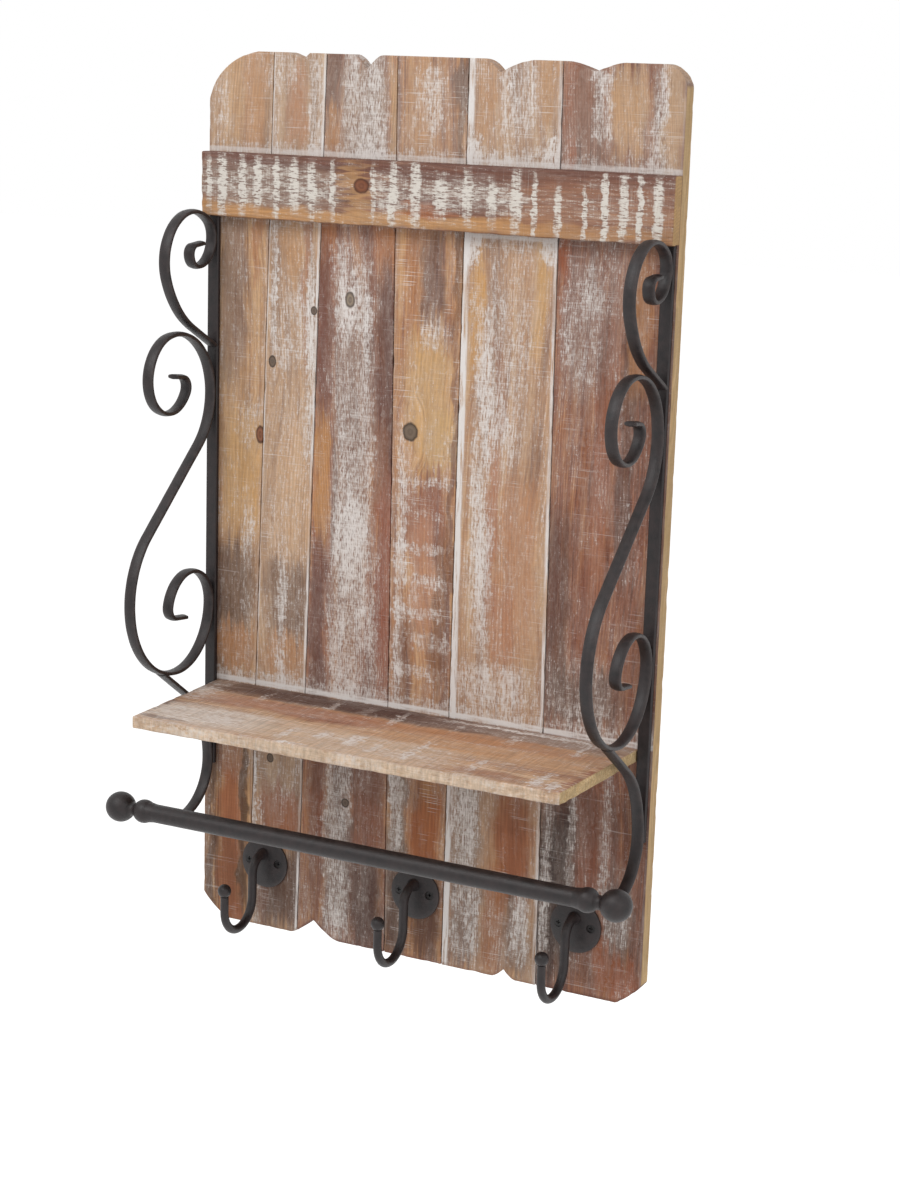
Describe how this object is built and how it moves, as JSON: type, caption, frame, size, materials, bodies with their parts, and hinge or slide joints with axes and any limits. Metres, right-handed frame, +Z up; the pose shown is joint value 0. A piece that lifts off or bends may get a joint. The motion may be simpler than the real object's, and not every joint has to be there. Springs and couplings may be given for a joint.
{
  "type": "wall shelf with hooks",
  "caption": "Rustic plank wall board with a narrow shelf on scrolled iron brackets, a towel rail below it and robe hooks along the foot.",
  "frame": {"origin": "on the wall plane, midway between the entries of the two keyholes", "axes": "+X to the right seen from the front, +Y into the wall, +Z up"},
  "size_m": [0.4908, 0.168, 0.767],
  "materials": {
    "wood": "rough-sawn reclaimed softwood, whitewashed and rubbed back",
    "iron": "satin charcoal paint over hand-bent bar",
    "steel": "plain zinc-plated steel"
  },
  "bodies": {
    "root": {"plank_1": "wood", "plank_2": "wood", "plank_3": "wood", "plank_4": "wood", "plank_5": "wood", "plank_6": "wood", "front_batten": "wood", "upper_cleat": "wood", "lower_cleat": "wood", "shelf_board": "wood", "left_strap": "iron", "right_strap": "iron", "left_upper_scroll": "iron", "right_upper_scroll": "iron", "left_s_scroll": "iron", "right_s_scroll": "iron", "left_lower_bar": "iron", "right_lower_bar": "iron", "towel_rail": "iron", "left_finial": "iron", "right_finial": "iron", "left_hook_plate": "iron", "centre_hook_plate": "iron", "right_hook_plate": "iron", "left_hook_arm": "iron", "centre_hook_arm": "iron", "right_hook_arm": "iron", "hook_screws": "iron", "strap_screws": "steel", "cleat_screws": "steel", "shelf_screws": "steel", "left_hanger_plate": "steel", "right_hanger_plate": "steel", "hanger_screws": "steel"}
  },
  "joints": []
}
